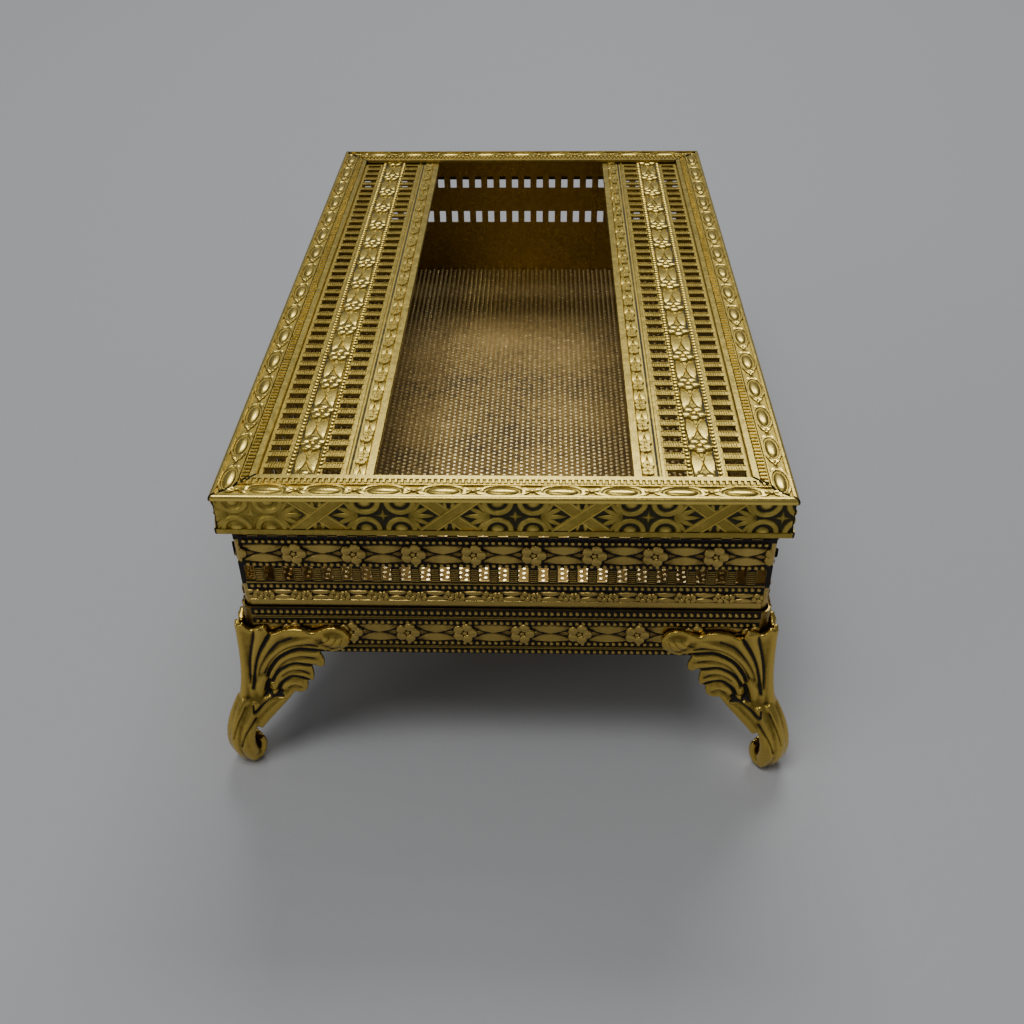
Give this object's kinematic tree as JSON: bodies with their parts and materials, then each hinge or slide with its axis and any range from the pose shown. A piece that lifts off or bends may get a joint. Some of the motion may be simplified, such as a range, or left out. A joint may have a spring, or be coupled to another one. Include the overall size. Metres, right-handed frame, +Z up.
{
  "type": "footed vanity box",
  "caption": "Footed gilt-brass filigree vanity box with pierced embossed walls, a stamped mesh floor, leaf-shaped cast feet and a hinged lid with a long open slot.",
  "frame": {"origin": "on the surface the feet stand on, under the middle of the box", "axes": "+Z up, +Y along the length towards the back, the short front wall faces -Y, the hinge is on the -X side"},
  "size_m": [0.091, 0.1416, 0.0513],
  "materials": {
    "gilt_lid": "bright gilt over embossing, dark brown in the recesses",
    "aged_wall": "antiqued brass, dark patina in the recesses, polished high spots",
    "mesh_floor": "stamped brick mesh, gilt on top and brown between",
    "cast_foot": "cast and gilt, rubbed bright on edges, dark in the grooves",
    "hinge_brass": "satin rolled brass",
    "hinge_steel": "drawn wire pin, lightly brushed"
  },
  "bodies": {
    "base": {"wall_band": "aged_wall", "base_band": "aged_wall", "floor_panel": "mesh_floor", "foot_front_left": "cast_foot", "foot_front_right": "cast_foot", "foot_back_left": "cast_foot", "foot_back_right": "cast_foot", "foot_rivets": "hinge_brass", "hinge_leaf_body": "hinge_brass", "hinge_pin": "hinge_steel", "hinge_rivets_body": "hinge_brass"},
    "lid": {"lid_rail_front": "gilt_lid", "lid_rail_back": "gilt_lid", "lid_rail_left": "gilt_lid", "lid_rail_right": "gilt_lid", "lid_panel_left": "gilt_lid", "lid_panel_right": "gilt_lid", "hinge_leaf_lid": "hinge_brass", "hinge_rivets_lid": "hinge_brass"}
  },
  "joints": [
    {"name": "lid_hinge", "type": "hinge", "parent": "base", "child": "lid", "pos_m": [-0.0409, 0, 0.04345], "axis": [0, -1, 0], "range_deg": [0, 105]}
  ]
}
